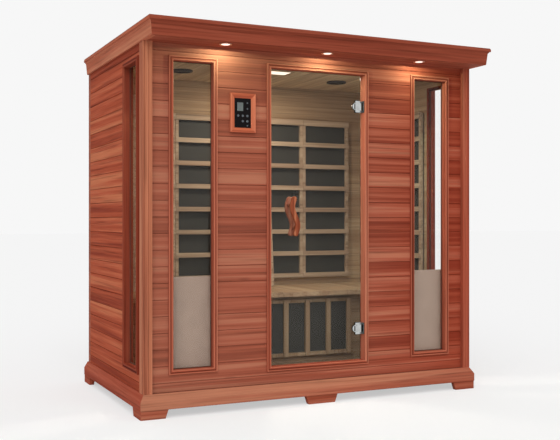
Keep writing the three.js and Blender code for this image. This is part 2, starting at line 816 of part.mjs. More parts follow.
function handleOutline() {
  const half = handleWidth / 2;
  const side = (z, reach) => {
    const normal = new THREE.Vector2(1, -handleSlope(z)).normalize();
    return normal.multiplyScalar(reach).add(new THREE.Vector2(handleMiddle(z), z));
  };
  const cap = (z, from) => {
    const points = [];
    const turn = Math.atan2(-handleSlope(z), 1) + from;
    for (let i = 1; i < handleEndSteps; i += 1) {
      const angle = turn + (Math.PI * i) / handleEndSteps;
      const x = handleMiddle(z) + half * Math.cos(angle);
      points.push(new THREE.Vector2(x, z + half * Math.sin(angle)));
    }
    return points;
  };
  const heights = [];
  for (let i = 0; i <= handleSteps; i += 1) {
    heights.push(handleLength * (i / handleSteps - 0.5));
  }
  const right = heights.map((z) => side(z, half));
  const left = heights.map((z) => side(z, -half)).reverse();
  return [...right, ...cap(handleLength / 2, 0), ...left, ...cap(-handleLength / 2, Math.PI)];
}

function addHandle(name, glassY, away) {
  const shape = new THREE.Shape(handleOutline());
  const settings = {
    depth: handleThickness - 2 * handleEase,
    bevelThickness: handleEase,
    bevelSize: handleEase,
    bevelOffset: -handleEase,
    bevelSegments: 1,
  };
  const bar = new THREE.ExtrudeGeometry(shape, settings);
  const barY = glassY + away * (handleStandoff + handleThickness / 2);
  bar.rotateX(Math.PI / 2).translate(handleX, barY + settings.depth / 2, handleHeight);
  const legYs = [glassY, glassY + away * (handleStandoff + handleThickness / 2)].sort((a, b) => a - b);
  const legs = [-1, 1].map((end) => {
    const z = (end * standoffSpan) / 2;
    return crosswise(standoffRadius, [handleX + handleMiddle(z), handleHeight + z], legYs);
  });
  add(`door_handle_${name}`, join(bar, ...legs), finish(cedar, 0.45));
}

// Control panel on the boards beside the door

function addControl() {
  const half = [controlWidth / 2, controlHeight / 2];
  const inner = [around(controlX, controlWidth), around(controlZ, controlHeight)];
  const room = inner.map((range) => grow(range, fitGap));
  const outer = inner.map((range) => grow(range, controlTrimWidth));
  const mouth = inner.map((range) => grow(range, controlTrimBevel));
  const trimFront = frontY - controlTrimProud;
  const trim = cut(
    block(outer[0], [trimFront, frontY], outer[1]),
    block(room[0], [trimFront - controlTrimProud, frontY + controlTrimProud], room[1]),
    taper(mouth, room, [trimFront, frontY - controlThickness]),
  );
  add("control_trim", trim, finish(cedar, 0.5));
  const panelFront = frontY - controlThickness;
  const keys = [];
  const firstRowZ = controlZ + half[1] - keyTopDrop;
  for (const [row, columns] of [[0, [-1, 0, 1]], [1, [0, 1]]]) {
    for (const column of columns) {
      keys.push([controlX + column * keyColumnPitch, firstRowZ - row * keyRowPitch]);
    }
  }
  const pockets = keys.map((place) =>
    crosswise(keyRadius + fitGap, place, [panelFront - keyPocket, panelFront + keyPocket]),
  );
  const panel = cut(block(inner[0], [panelFront, frontY], inner[1]), ...pockets);
  add("control_panel", panel, finish(blackPlastic, 0.25));
  keys.forEach((place, index) => {
    const keyYs = [panelFront - keyProud, panelFront + keyPocket - keyTravel - fitGap];
    const key = crosswise(keyRadius, place, keyYs);
    add(`control_key_${index + 1}`, key, finish(greyPlastic, 0.4));
  });
}

addPlinth();
addWalls();
addPosts();
addWindow("front_left", "front", frontWindowRuns.left);
addWindow("front_right", "front", frontWindowRuns.right);
addWindow("side_left", "left", sideWindowRun);
addWindow("side_right", "right", sideWindowRun);
addDoorFrame();
addRoof();
addRoofFittings();
addGuards();
addBench();
addBackrest();
addDoor();
addControl();

export default cabin;
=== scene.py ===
import math
from contextlib import contextmanager
from functools import partial

import bmesh
import bpy
from bpy.props import FloatProperty, FloatVectorProperty, PointerProperty
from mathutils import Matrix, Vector


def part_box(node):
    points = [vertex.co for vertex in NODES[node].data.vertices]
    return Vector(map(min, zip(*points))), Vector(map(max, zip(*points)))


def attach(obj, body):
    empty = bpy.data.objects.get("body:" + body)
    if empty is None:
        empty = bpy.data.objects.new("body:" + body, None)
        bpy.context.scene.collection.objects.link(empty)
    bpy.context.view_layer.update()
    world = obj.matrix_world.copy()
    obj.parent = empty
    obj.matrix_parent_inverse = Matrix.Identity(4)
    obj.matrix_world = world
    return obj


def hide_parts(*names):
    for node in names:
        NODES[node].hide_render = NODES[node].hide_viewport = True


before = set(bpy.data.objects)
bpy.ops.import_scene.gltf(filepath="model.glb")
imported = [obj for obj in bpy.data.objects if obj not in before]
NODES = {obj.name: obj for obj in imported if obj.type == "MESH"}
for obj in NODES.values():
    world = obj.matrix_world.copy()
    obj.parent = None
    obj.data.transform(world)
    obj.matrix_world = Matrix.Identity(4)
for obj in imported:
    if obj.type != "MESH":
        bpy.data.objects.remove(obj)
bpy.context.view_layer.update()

bl_info = {
    "name": "Sauna Cabin Dresser",
    "version": (1, 0, 0),
    "blender": (4, 5, 0),
    "location": "View3D > Sidebar > Sauna",
    "description": "Finishes an infrared sauna cabin in cedar, glass and chrome and sets its studio",
    "category": "Object",
}

# Directions and turns
FRONT, UP, DOWN = (0, -1, 0), (0, 0, 1), (0, 0, -1)
QUARTER_TURN = math.pi / 2
SIDE_TURNS = {"front": 0.0, "left": -QUARTER_TURN, "right": QUARTER_TURN}
SHARP_ANGLE = math.radians(35)


def middle_of(node):
    low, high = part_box(node)
    return (low + high) / 2


# Planes inside the walls where the outer cedar ends and the lining starts
LINING_SIDE = middle_of("right_wall").x
LINING_FRONT = -0.443
LINING_BACK = middle_of("back_wall").y

# Crown: the inner edge of its side boards, and the line of its front mitres
CROWN_LOW, CROWN_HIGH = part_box("crown_moulding")
CROWN_SIDE = CROWN_HIGH.x - 0.0375
CROWN_MITRE = CROWN_HIGH.x + CROWN_LOW.y

# Guards in front of the heaters
GUARD_RAIL_BASE = 0.512
GUARD_RAIL_PITCH = 0.1409
GUARD_SEAM = 0.434
BENCH_SLAT_PITCH = 0.1398

# Frames of the door and the windows, and the width of a window frame's face
WINDOWS = ("front_left", "front_right", "side_left", "side_right")
FRAMES = ("door_frame", *(f"window_frame_{window}" for window in WINDOWS))
FRAME_FACE = 0.022

# Camera, with its focal length and shift in pixels of an image of that width
CAMERA_PLACE = (-2.18995, -4.62368, 0.95099)
CAMERA_TURN = math.radians(-25.368)
IMAGE_WIDTH = 560
FOCAL_PIXELS = 895.41
SHIFT_PIXELS = (-0.98, 0.44)
SENSOR_WIDTH = 36


def colour_prop(label, about, value):
    return FloatVectorProperty(
        name=label, description=about, default=value, size=3, min=0, max=1, subtype="COLOR"
    )


def length_prop(label, about, value):
    return FloatProperty(
        name=label, description=about, default=value, min=0, unit="LENGTH", subtype="DISTANCE"
    )


def light_prop(label, about, value, unit="NONE"):
    return FloatProperty(name=label, description=about, default=value, min=0, unit=unit)


class TimberLooks(bpy.types.PropertyGroup):
    """Colours and board sizes of the cabin's timber."""

    cedar_dark: colour_prop("Cedar dark", "Darkest boards of the red cedar", (0.2, 0.036, 0.02))
    cedar_red: colour_prop("Cedar red", "Main tone of the red cedar", (0.308, 0.067, 0.036))
    cedar_pink: colour_prop("Cedar pink", "Pinkish boards of the red cedar", (0.37, 0.097, 0.057))
    cedar_tan: colour_prop("Cedar tan", "Palest boards of the red cedar", (0.425, 0.148, 0.087))
    pale_dark: colour_prop("Pale wood dark", "Darkest boards of the bench room", (0.34, 0.21, 0.12))
    pale_mid: colour_prop("Pale wood middle", "Main tone of the bench room timber", (0.43, 0.29, 0.175))
    pale_warm: colour_prop("Pale wood warm", "Warm boards of the bench room", (0.49, 0.345, 0.21))
    pale_light: colour_prop("Pale wood light", "Palest boards of the bench room", (0.57, 0.42, 0.27))
    board_pitch: length_prop("Board pitch", "Height of one wall board", 0.0806)
    board_base: length_prop("Board base", "Height of the lowest wall joint", 0.1616)
    joint_width: length_prop("Joint width", "Width of the dark joint between lining boards", 0.0035)


class FittingLooks(bpy.types.PropertyGroup):
    """Colours and small sizes of glass, metal, heaters and controls."""

    heater: colour_prop("Heater", "Face of the heating plates", (0.056, 0.055, 0.048))
    beige: colour_prop("Beige board", "Back of the front heaters", (0.355, 0.251, 0.193))
    glass: colour_prop("Glass", "Tint of the panes", (0.985, 0.985, 0.98))
    chrome: colour_prop("Chrome", "Polished hinges", (0.6, 0.61, 0.6))
    panel: colour_prop("Panel", "Gloss face of the control", (0.008, 0.006, 0.007))
    key: colour_prop("Key", "Soft keys of the control", (0.095, 0.1, 0.118))
    screen: colour_prop("Screen", "Display of the control", (0.125, 0.13, 0.135))
    lamp: colour_prop("Lamp", "Glow of the lamps", (1.0, 0.86, 0.7))
    seal: colour_prop("Seal", "Brown seals round the panes", (0.09, 0.043, 0.03))
    pad: colour_prop("Pad", "Black pads and groove_shades of the hinges", (0.012, 0.012, 0.012))
    screw_radius: length_prop("Screw radius", "Head of the hinge screws", 0.0045)


class StageLooks(bpy.types.PropertyGroup):
    """Studio around the cabin."""

    backdrop: FloatProperty(
        name="Backdrop", description="Brightness of the background", default=0.93, min=0, max=1
    )
    sky: light_prop("Sky", "Strength of the even light", 0.6)
    sun: light_prop("Sun", "Strength of the soft key light", 1.54)
    spot: light_prop("Downlight", "Power of each downlight", 3.2, "POWER")
    room: light_prop("Room lamp", "Power of the room lamp", 7.0, "POWER")


# Shader nodes


class Shade:
    """Short ways to place and join shader nodes in one tree."""

    def __init__(self, tree):
        self.tree = tree

    def put(self, socket, value):
        if isinstance(value, bpy.types.NodeSocket):
            self.tree.links.new(value, socket)
        elif isinstance(value, (tuple, list)) and socket.type == "RGBA" and len(value) == 3:
            socket.default_value = (*value, 1.0)
        else:
            socket.default_value = value

    def fill(self, sockets, values):
        for socket, value in zip(sockets, values):
            self.put(socket, value)

    def node(self, kind, settings=None, **inputs):
        made = self.tree.nodes.new(kind)
        for key, value in (settings or {}).items():
            setattr(made, key, value)
        for key, value in inputs.items():
            self.put(made.inputs[key.replace("_", " ")], value)
        return made

    def maths(self, operation, *values):
        made = self.node("ShaderNodeMath", {"operation": operation})
        self.fill(made.inputs, values)
        return made.outputs[0]

    def times(self, first, second):
        return self.maths("MULTIPLY", first, second)

    def mix(self, factor, first, second, blend="MIX"):
        """One colour laid over another."""
        made = self.node("ShaderNodeMix", {"data_type": "RGBA", "blend_type": blend})
        self.fill((made.inputs[0], *made.inputs[6:8]), (factor, first, second))
        return made.outputs[2]

    def blend(self, factor, first, second):
        """A value between two others."""
        made = self.node("ShaderNodeMix", {"data_type": "FLOAT"})
        self.fill((made.inputs[0], *made.inputs[2:4]), (factor, first, second))
        return made.outputs[0]

    def shaded(self, colour, share):
        """A colour made lighter or darker by a share."""
        return self.mix(1.0, colour, self.vector(share, share, share), "MULTIPLY")

    def ramp(self, factor, *stops):
        made = self.tree.nodes.new("ShaderNodeValToRGB")
        stretch = made.color_ramp.elements
        while len(stretch) < len(stops):
            stretch.new(0.5)
        for element, (place, colour) in zip(stretch, stops):
            element.position = place
            element.color = (*colour, 1.0)
        self.put(made.inputs[0], factor)
        return made.outputs[0]

    def span(self, value, low, high, to_low=0.0, to_high=1.0):
        made = self.node("ShaderNodeMapRange", {"clamp": True})
        labels = ("Value", "From Min", "From Max", "To Min", "To Max")
        self.fill([made.inputs[label] for label in labels], (value, low, high, to_low, to_high))
        return made.outputs[0]

    def vector(self, x, y, z):
        made = self.tree.nodes.new("ShaderNodeCombineXYZ")
        self.fill(made.inputs, (x, y, z))
        return made.outputs[0]

    def noise(self, vector, scale, detail, roughness):
        made = self.node("ShaderNodeTexNoise", Vector=vector, Scale=scale, Detail=detail, Roughness=roughness)
        return made.outputs[0]

    def bump(self, height, depth, strength):
        return self.node("ShaderNodeBump", Height=height, Distance=depth, Strength=strength).outputs[0]

    def place(self):
        coords = self.tree.nodes.new("ShaderNodeTexCoord")
        split = self.node("ShaderNodeSeparateXYZ", Vector=coords.outputs["Object"])
        return dict(zip("xyz", split.outputs))

    def straight_rays(self):
        """Mask of what the camera sees straight on, mirrored or through glass."""
        light = self.node("ShaderNodeLightPath").outputs
        straight = self.maths("MAXIMUM", light["Is Camera Ray"], light["Is Glossy Ray"])
        return self.maths("MAXIMUM", straight, light["Is Transmission Ray"])

    def show(self, output, factor, first, second):
        """Sends a mix of two shaders to the output."""
        both = self.tree.nodes.new("ShaderNodeMixShader")
        self.fill(both.inputs, (factor, first, second))
        self.put(self.tree.nodes[output].inputs["Surface"], both.outputs[0])


# Waves of the grain per metre, along it and across it, and the shift from one board to the next
GRAIN = {"Figure": (0.5, 26.0), "Lines": (1.8, 85.0), "Streaks": (5.0, 260.0), "Knots": (3.0, 11.0)}
BOARD_SHIFT = 61.0
KNOT_CHANCE = 0.86


def timber_figure(shade, source, sink):
    """Grain of one sawn board: slow figure, growth lines, fine streaks and knots, new on every board."""
    noise = shade.node("ShaderNodeTexWhiteNoise", {"noise_dimensions": "1D"}, W=source["Board"])
    chance = noise.outputs["Value"]
    apart = shade.times(chance, BOARD_SHIFT)

    def stretched(feature):
        along, across = GRAIN[feature]
        run = shade.maths("MULTIPLY_ADD", source["Along"], along, apart)
        rise = shade.times(source["Across"], across)
        deep = shade.times(source["Depth"], across)
        return shade.vector(run, rise, deep)

    shade.put(sink["Tint"], chance)
    shade.put(sink["Figure"], shade.noise(stretched("Figure"), 1.0, 3.0, 0.6))
    dark = shade.noise(stretched("Lines"), 1.0, 2.0, 0.55)
    shade.put(sink["Lines"], shade.span(dark, 0.52, 0.74))
    shade.put(sink["Streaks"], shade.noise(stretched("Streaks"), 1.0, 2.0, 0.6))
    cells = shade.node("ShaderNodeTexVoronoi", Vector=stretched("Knots"), Scale=1.0).outputs
    pick = shade.node("ShaderNodeSeparateXYZ", Vector=cells["Color"]).outputs[0]
    core = shade.span(cells["Distance"], 0.02, 0.15, 1.0, 0.0)
    shade.put(sink["Knots"], shade.times(core, shade.maths("GREATER_THAN", pick, KNOT_CHANCE)))


def board_rows(shade, source, sink):
    """Boards laid side by side: the number of the board and a mask of the joint between two."""
    from_base = shade.maths("SUBTRACT", source["Place"], source["Base"])
    steps = shade.maths("DIVIDE", from_base, source["Pitch"])
    shade.put(sink["Row"], shade.maths("FLOOR", steps))
    off = shade.times(shade.maths("PINGPONG", steps, 0.5), source["Pitch"])
    half = shade.times(source["Joint width"], 0.5)
    shade.put(sink["Joint"], shade.span(off, shade.times(half, 0.4), half, 1.0, 0.0))


def worn_spots(shade, source, sink):
    """Slow cloudy changes over a surface and fine ones, for smudges, dust and handling."""
    where = shade.vector(source["X"], source["Y"], source["Z"])
    shade.put(sink["Cloud"], shade.noise(where, source["Scale"], 4.0, 0.6))
    shade.put(sink["Fine"], shade.noise(where, shade.times(source["Scale"], 25.0), 3.0, 0.6))


# Shared node groups: what fills them, their inputs and their outputs
GROUPS = {
    "timber figure": (
        timber_figure,
        ("Along", "Across", "Depth", "Board"),
        ("Figure", "Lines", "Streaks", "Tint", "Knots"),
    ),
    "board rows": (board_rows, ("Place", "Base", "Pitch", "Joint width"), ("Row", "Joint")),
    "worn spots": (worn_spots, ("X", "Y", "Z", "Scale"), ("Cloud", "Fine")),
}


def use_group(shade, name, *values):
    """Places a shared node group, filled at its first use, with its inputs in their order."""
    if name not in bpy.data.node_groups:
        fill, inputs, outputs = GROUPS[name]
        tree = bpy.data.node_groups.new(name, "ShaderNodeTree")
        for way, labels in (("INPUT", inputs), ("OUTPUT", outputs)):
            for label in labels:
                tree.interface.new_socket(label, in_out=way, socket_type="NodeSocketFloat")
        source = tree.nodes.new("NodeGroupInput")
        sink = tree.nodes.new("NodeGroupOutput")
        fill(Shade(tree), source.outputs, sink.inputs)
    made = shade.node("ShaderNodeGroup", {"node_tree": bpy.data.node_groups[name]})
    shade.fill(made.inputs, values)
    return made.outputs


def worn(shade, scale):
    """Masks of the worn spots on a piece, cloudy and fine."""
    return use_group(shade, "worn spots", *shade.place().values(), scale)


def darker(colour, share):
    return [value * share for value in colour]


def new_material(name, **plain):
    """A material; plain values go straight onto its shader's own sockets."""
    material = bpy.data.materials.new(name)
    material.use_nodes = True
    shade = Shade(material.node_tree)
    surface = material.node_tree.nodes["Principled BSDF"].inputs
    for label, value in plain.items():
        shade.put(surface[label.replace("_", " ")], value)
    return material, shade, surface


def spotted_material(
    name, colour, scale, share, rough=None, over="Fine", relief=None, ends=(0.3, 0.7), **plain
):
    """A finish whose colour falls to a share of itself in cloudy spots.

    rough is the span of the roughness over one mask of the spots, and relief the depth and strength
    of the fine bumps."""
    material, shade, surface = new_material(name, **plain)
    spots = worn(shade, scale)
    stops = zip(ends, (darker(colour, share), colour))
    shade.put(surface["Base Color"], shade.ramp(spots["Cloud"], *stops))
    if rough:
        shade.put(surface["Roughness"], shade.span(spots[over], 0.3, 0.7, *rough))
    if relief:
        shade.put(surface["Normal"], shade.bump(spots["Fine"], *relief))
    return material


# Timber finishes

ACROSS = {"x": ("z", "y"), "y": ("z", "x"), "z": ("x", "y")}
ZONE_STEP = 17.0
MIDDLE_TONE = 0.505
TONE_PLACES = (0.0, 0.4, 0.7, 1.0)
LINE_SHADE = 0.6
STREAK_SHADES = (0.9, 1.07)
KNOT_SHARE, KNOT_SHADE = 0.7, 0.5
JOINT_SHARE, JOINT_SHADE, JOINT_DEPTH = 0.65, 0.6, -1.5
LEAST_JOINT = 1e-5
TIMBER_ROUGHNESS = (0.72, 0.55)
TIMBER_RELIEF = (0.0004, 0.5)
LEFT_AND_RIGHT = (("x", 0.0),)
FRONT_AND_BACK = (("y", 0.0),)


def timber(shade, at, tones, grain, rows=None, zones=(), seed=0.0, lean=(), fine=1.0, vary=0.45, swing=1.7):
    """Colour, roughness and height of sawn timber along one axis, in boards or in one piece.

    rows are an axis, a base, a pitch and a joint width. Zones part boards at a place, and lean shifts
    the tone between two places. fine tightens the grain; vary and swing change the tone between boards
    and within one."""
    across, depth = ACROSS[grain]
    board, joint = seed, None
    if rows:
        axis, base, pitch, width = rows
        cells = use_group(shade, "board rows", at[axis], base, pitch, max(width, LEAST_JOINT))
        board = shade.maths("ADD", cells["Row"], seed)
        joint = cells["Joint"] if width else None
    for axis, limit in zones:
        past = shade.maths("GREATER_THAN", at[axis], limit)
        board = shade.maths("MULTIPLY_ADD", past, ZONE_STEP, board)
    rise, deep = shade.times(at[across], fine), shade.times(at[depth], fine)
    grainy = use_group(shade, "timber figure", at[grain], rise, deep, board)
    wave = shade.maths("MULTIPLY_ADD", grainy["Figure"], swing, -swing / 2)
    middle = shade.maths("ADD", wave, MIDDLE_TONE - vary / 2)
    tone = shade.maths("MULTIPLY_ADD", grainy["Tint"], vary, middle)
    for axis, start, end, amount in lean:
        tone = shade.maths("ADD", tone, shade.span(at[axis], start, end, 0.0, amount))
    colour = shade.ramp(tone, *zip(TONE_PLACES, tones))
    lines = shade.span(grainy["Lines"], 0.0, 1.0, 1.0, LINE_SHADE)
    streaks = shade.span(grainy["Streaks"], 0.3, 0.7, *STREAK_SHADES)
    colour = shade.shaded(colour, shade.times(lines, streaks))
    colour = shade.mix(shade.times(grainy["Knots"], KNOT_SHARE), colour, darker(tones[0], KNOT_SHADE))
    height = grainy["Streaks"]
    if joint is not None:
        colour = shade.mix(shade.times(joint, JOINT_SHARE), colour, darker(tones[0], JOINT_SHADE))
        height = shade.maths("MULTIPLY_ADD", joint, JOINT_DEPTH, height)
    rough = shade.span(grainy["Streaks"], 0.2, 0.8, *TIMBER_ROUGHNESS)
    return colour, rough, height


def cedar_tones():
    looks = bpy.context.scene.cabin_timber
    return looks.cedar_dark[:], looks.cedar_red[:], looks.cedar_pink[:], looks.cedar_tan[:]


def pale_tones():
    looks = bpy.context.scene.cabin_timber
    return looks.pale_dark[:], looks.pale_mid[:], looks.pale_warm[:], looks.pale_light[:]


def tinted(tones, *shares):
    """Tones made lighter, darker or of another hue by a share for red, green and blue."""
    shares = shares if len(shares) == 3 else shares * 3
    return tuple(tuple(min(1.0, value * share) for value, share in zip(tone, shares)) for tone in tones)


def timber_material(name, tones, grain, rows=None, zones=(), seed=0.0, second=None, lines=(), **figure):
    """A timber finish. second is a mask and the other timber that lies there; lines are masks with a
    colour and a share."""
    material, shade, surface = new_material(name, Specular_IOR_Level=0.02)
    at = shade.place()
    colour, rough, height = timber(shade, at, tones, grain, rows, zones, seed, **figure)
    if second:
        mask = second[0](shade, at)
        other_colour, other_rough, other_height = timber(shade, at, **second[1])
        colour = shade.mix(mask, colour, other_colour)
        rough = shade.blend(mask, rough, other_rough)
        height = shade.blend(mask, height, other_height)
    for mask, tint, share in lines:
        colour = shade.mix(shade.times(mask(shade, at), share), colour, tint)
    shade.put(surface["Base Color"], colour)
    shade.put(surface["Roughness"], rough)
    shade.put(surface["Normal"], shade.bump(height, *TIMBER_RELIEF))
    return material


def inside_room(shade, at):
    """Mask of what lies inside the middle of the walls, where the lining is."""
    between = shade.maths("LESS_THAN", shade.maths("ABSOLUTE", at["x"]), LINING_SIDE)
    behind = shade.maths("GREATER_THAN", at["y"], LINING_FRONT)
    before = shade.maths("LESS_THAN", at["y"], LINING_BACK)
    return shade.times(shade.times(between, behind), before)


def painted_falloff(axis, start, end, shade, at):
    """Mask of the outside that grows from start to end, for painted light and shade across a wall."""
    outside = shade.maths("SUBTRACT", 1.0, inside_room(shade, at))
    return shade.times(outside, shade.span(at[axis], start, end))


def edge_distances(axis, low, high, shade, at):
    """Distances inwards from the sides and from the top and bottom of an upright frame."""
    off = []
    for way in (axis, "z"):
        number = "xyz".index(way)
        away = shade.maths("ABSOLUTE", shade.maths("SUBTRACT", at[way], (high[number] + low[number]) / 2))
        off.append(shade.maths("SUBTRACT", (high[number] - low[number]) / 2, away))
    return off


def rails(axis, low, high, shade, at):
    """Mask of the rails of an upright frame, up to its mitres."""
    return shade.maths("GREATER_THAN", *edge_distances(axis, low, high, shade, at))


def crown_side(shade, at):
    """Mask of the crown's side boards, up to the mitres of the front corners."""
    out = shade.maths("ABSOLUTE", at["x"])
    past = shade.maths("GREATER_THAN", out, CROWN_SIDE)
    mitre = shade.maths("GREATER_THAN", shade.maths("ADD", out, at["y"]), CROWN_MITRE)
    return shade.times(past, mitre)


def ring_band(axis, low, high, start, end, shade, at):
    """Mask of a band round a frame's face, between two distances from its outer edge."""
    edge = shade.maths("MINIMUM", *edge_distances(axis, low, high, shade, at))
    past = shade.maths("GREATER_THAN", edge, start)
    return shade.times(past, shade.maths("LESS_THAN", edge, end))


# Finishes of glass, metal, rubber and plastic


def clear_glass(tint):
    """Clear glass with faint smudges, which lets the lamps' light through."""
    material, shade, surface = new_material("clear glass", Base_Color=tint, IOR=1.2, Transmission_Weight=1.0)
    shade.put(surface["Roughness"], shade.span(worn(shade, 7.0)["Cloud"], 0.45, 0.75, 0.0, 0.012))
    shadow = shade.node("ShaderNodeLightPath").outputs["Is Shadow Ray"]
    open_way = shade.node("ShaderNodeBsdfTransparent", Color=tint).outputs[0]
    shade.show("Material Output", shadow, shade.tree.nodes["Principled BSDF"].outputs[0], open_way)
    return material


def rubber_material(name, colour):
    return spotted_material(name, colour, 35.0, 0.7, (0.6, 0.8), Specular_IOR_Level=0.2)


def chrome_material(name, colour):
    return spotted_material(
        name, colour, 40.0, 0.8, (0.06, 0.16), "Cloud", (0.00002, 0.2), (0.35, 0.65), Metallic=1.0
    )


def satin_metal(name, colour, roughness):
    rough = (roughness * 0.8, roughness * 1.2)
    return spotted_material(name, colour, 30.0, 0.85, rough, "Cloud", Metallic=1.0)


def gloss_panel(colour):
    material, shade, surface = new_material("gloss black panel", Base_Color=colour, Specular_IOR_Level=0.03)
    shade.put(surface["Roughness"], shade.span(worn(shade, 25.0)["Cloud"], 0.3, 0.7, 0.12, 0.28))
    return material


def glow_material(name, colour, strength):
    material, shade, surface = new_material(
        name, Base_Color=colour, Emission_Strength=strength, Roughness=0.35
    )
    cloud = worn(shade, 30.0)["Cloud"]
    shade.put(surface["Emission Color"], shade.ramp(cloud, (0.3, darker(colour, 0.92)), (0.7, colour)))
    return material


def heater_back(colour):
    """Plain beige board with a fine fleck and slow clouds."""
    material, shade, surface = new_material("beige heater back", Roughness=0.7)
    spots = worn(shade, 12.0)
    fleck = shade.ramp(spots["Fine"], (0.3, darker(colour, 0.8)), (0.7, colour))
    cloud = shade.span(spots["Cloud"], 0.3, 0.7, 0.92, 1.06)
    shade.put(surface["Base Color"], shade.shaded(fleck, cloud))
    shade.put(surface["Normal"], shade.bump(spots["Fine"], 0.0003, 0.5))
    return material


def speaker_grille():
    """Dark sheet with rows of small round holes."""
    holes_per_metre = 200.0
    material, shade, surface = new_material("speaker grille", Roughness=0.5)
    at = shade.place()
    squares = []
    for axis in "xy":
        off = shade.maths("PINGPONG", shade.times(at[axis], holes_per_metre), 0.5)
        squares.append(shade.maths("POWER", off, 2.0))
    hole = shade.span(shade.maths("SQRT", shade.maths("ADD", *squares)), 0.24, 0.3, 1.0, 0.0)
    shade.put(surface["Base Color"], shade.mix(hole, (0.06, 0.06, 0.06), (0.006, 0.006, 0.006)))
    shade.put(surface["Normal"], shade.bump(hole, -0.0008, 0.8))
    return material


# Mesh work with Blender's own tools


def deselect():
    bpy.ops.object.select_all(action="DESELECT")


def begin(piece):
    deselect()
    piece.select_set(True)
    bpy.context.view_layer.objects.active = piece


def settle(piece, name):
    """Names the piece and puts its place, turn and scale into its mesh."""
    piece.name = name
    piece.data.name = name
    begin(piece)
    bpy.ops.object.transform_apply(location=True, rotation=True, scale=True)
    return piece


@contextmanager
def editing(piece):
    begin(piece)
    bpy.ops.object.mode_set(mode="EDIT")
    bpy.ops.mesh.select_mode(type="FACE")
    bpy.ops.mesh.select_all(action="DESELECT")
    yield
    bpy.ops.object.mode_set(mode="OBJECT")


def inset_face(piece, direction, *steps):
    """Insets the faces that look one way, in steps of width and height."""
    with editing(piece):
        mesh = bmesh.from_edit_mesh(piece.data)
        for face in mesh.faces:
            face.select = face.normal.dot(Vector(direction)) > 0.9
        bmesh.update_edit_mesh(piece.data)
        for width, rise in steps:
            bpy.ops.mesh.inset(thickness=width, depth=rise)


def block(name, low, high):
    low, high = Vector(low), Vector(high)
    deselect()
    bpy.ops.mesh.primitive_cube_add(size=1, location=(low + high) / 2)
    piece = bpy.context.object
    piece.scale = high - low
    return settle(piece, name)


def disc(name, centre, radius, depth, axis, sides):
    turn = {"z": (0, 0, 0), "y": (QUARTER_TURN, 0, 0)}[axis]
    deselect()
    bpy.ops.mesh.primitive_cylinder_add(
        vertices=sides, radius=radius, depth=depth, location=centre, rotation=turn
    )
    return settle(bpy.context.object, name)


def flat_ring(name, centre, size, width, turn=(0, 0, 0)):
    """A flat mitred ring of one width."""
    deselect()
    bpy.ops.mesh.primitive_plane_add(size=1, location=centre, rotation=turn)
    piece = bpy.context.object
    piece.scale = (*size, 1)
    settle(piece, name)
    with editing(piece):
        bpy.ops.mesh.select_all(action="SELECT")
        bpy.ops.mesh.inset(thickness=width, depth=0)
        bpy.ops.mesh.delete(type="FACE")
    return piece


def thicken(piece, thickness, offset):
    """Gives a sheet its thickness, on the side that the offset names."""
    thick = piece.modifiers.new("thickness", "SOLIDIFY")
    thick.thickness = thickness
    thick.offset = offset
    begin(piece)
    bpy.ops.object.modifier_apply(modifier=thick.name)


def frame_ring(name, centre, size, turn, width, steps):
    """A mitred ring laid on a frame's face, raised in steps of inset and height."""
    backing = 0.001
    piece = flat_ring(name, centre, size, width, (QUARTER_TURN, 0, turn))
    with editing(piece):
        bpy.ops.mesh.select_all(action="SELECT")
        for part, rise in steps:
            bpy.ops.mesh.inset(thickness=part, depth=rise, use_boundary=True)
    thicken(piece, backing, -1)
    bpy.ops.object.shade_smooth_by_angle(angle=SHARP_ANGLE)
    return piece


def bevel(piece, width):
    edge = piece.modifiers.new("eased edges", "BEVEL")
    edge.width = width
    edge.segments = 2
    edge.limit_method = "ANGLE"
    edge.angle_limit = SHARP_ANGLE
    return edge.name


def ease(piece, width):
    """Rounds the sharp edges of a new piece."""
    begin(piece)
    bpy.ops.object.modifier_apply(modifier=bevel(piece, width))
    bpy.ops.object.shade_smooth_by_angle(angle=SHARP_ANGLE)


def join(piece, *others):
    begin(piece)
    for other in others:
        other.select_set(True)
    bpy.ops.object.join()
    return piece


def studs(name, places, radius, thickness, edge, *steps):
    """A small round head that faces the front, copied to every place and joined into one object."""
    head = disc(name, places[0], radius, thickness, "y", 24)
    inset_face(head, FRONT, *steps)
    ease(head, edge)
    twins = []
    for place in places[1:]:
        begin(head)
        bpy.ops.object.duplicate(linked=False)
        twin = bpy.context.object
        twin.location = Vector(place) - Vector(places[0])
        twins.append(settle(twin, f"{name}_copy"))
    return settle(join(head, *twins), name)


def finish_nodes(material, *nodes, edge=0.0):
    """Gives CAD nodes a finish and rounds their sharp edges live, while their meshes stay as they are."""
    for node in nodes:
        piece = NODES[node]
        piece.data.materials.clear()
        piece.data.materials.append(material)
        if edge:
            weld = piece.modifiers.new("weld", "WELD")
            weld.merge_threshold = 0.00002
            bevel(piece, edge)


def paint_piece(piece, material, body, slot, *stands_for):
    piece.data.materials.clear()
    piece.data.materials.append(material)
    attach(piece, body)
    if stands_for:
        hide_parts(*stands_for)


# Pieces


